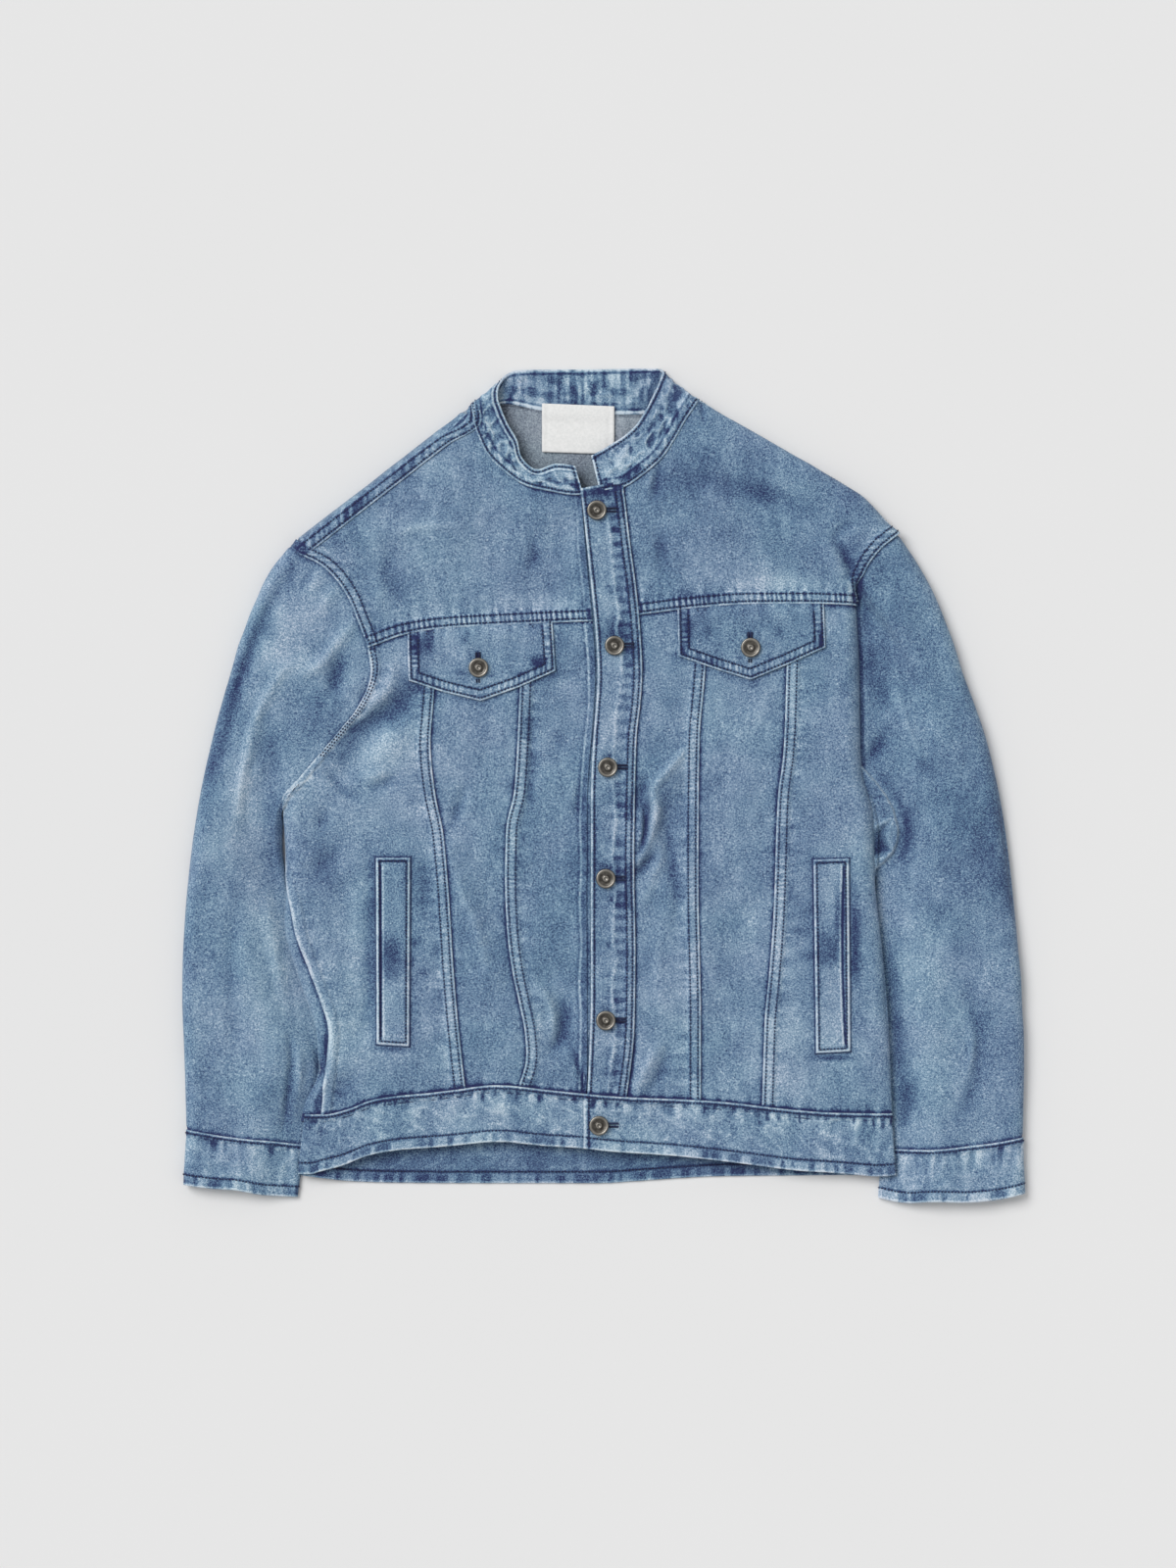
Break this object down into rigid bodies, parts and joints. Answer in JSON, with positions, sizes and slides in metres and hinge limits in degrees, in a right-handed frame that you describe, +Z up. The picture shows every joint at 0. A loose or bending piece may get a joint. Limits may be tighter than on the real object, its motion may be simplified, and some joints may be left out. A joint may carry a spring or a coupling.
{
  "type": "denim jacket",
  "caption": "Boxy denim jacket laid flat, with stand collar, buttoned placket, pointed chest flaps, welt pockets, waistband and cuffs.",
  "frame": {"origin": "centre of the outline's box, on the surface that the jacket lies on", "axes": "+X across the jacket to the side of its left arm, +Y towards the collar, +Z up, out of its front"},
  "size_m": [0.7298, 0.7229, 0.0268],
  "materials": {
    "denim": "matt mottled blue twill, one layer",
    "denim_doubled": "matt mottled blue twill, doubled and topstitched",
    "label_cloth": "plain white woven cloth",
    "button_metal": "antique nickel, turned"
  },
  "bodies": {
    "root": {"back_panel": "denim", "left_yoke": "denim", "right_yoke": "denim", "left_side": "denim", "left_middle": "denim", "left_centre": "denim", "right_centre": "denim", "right_middle": "denim", "right_side": "denim", "left_sleeve": "denim", "right_sleeve": "denim", "waistband": "denim_doubled", "placket": "denim_doubled", "under_placket": "denim_doubled", "collar": "denim_doubled", "left_cuff": "denim_doubled", "right_cuff": "denim_doubled", "left_flap": "denim_doubled", "right_flap": "denim_doubled", "left_welt": "denim_doubled", "right_welt": "denim_doubled", "neck_label": "label_cloth", "button_1": "button_metal", "button_2": "button_metal", "button_3": "button_metal", "button_4": "button_metal", "button_5": "button_metal", "button_6": "button_metal", "left_flap_button": "button_metal", "right_flap_button": "button_metal"}
  },
  "joints": []
}
